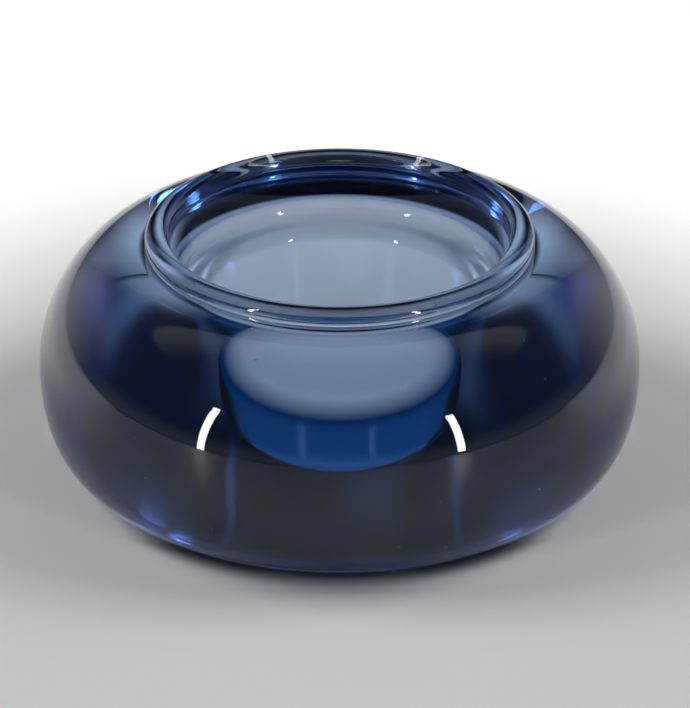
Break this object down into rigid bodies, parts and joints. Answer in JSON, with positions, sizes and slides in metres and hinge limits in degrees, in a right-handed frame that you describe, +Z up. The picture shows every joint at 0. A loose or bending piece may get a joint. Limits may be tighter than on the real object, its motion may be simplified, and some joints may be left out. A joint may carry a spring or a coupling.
{
  "type": "candle holder",
  "caption": "Squat one-piece candle holder of thick dark blue glass, with a rolled bead round the mouth and a deep round-bottomed cup for a small candle.",
  "frame": {"origin": "centre of the flat base, on the surface that it stands on", "axes": "+Z up along the axis of the body and the well; the body is round about +Z"},
  "size_m": [0.11, 0.11, 0.0459],
  "materials": {
    "blue_glass": "fire-polished solid glass, blue all through, ground flat underneath"
  },
  "bodies": {
    "root": {"glass_body": "blue_glass"}
  },
  "joints": []
}
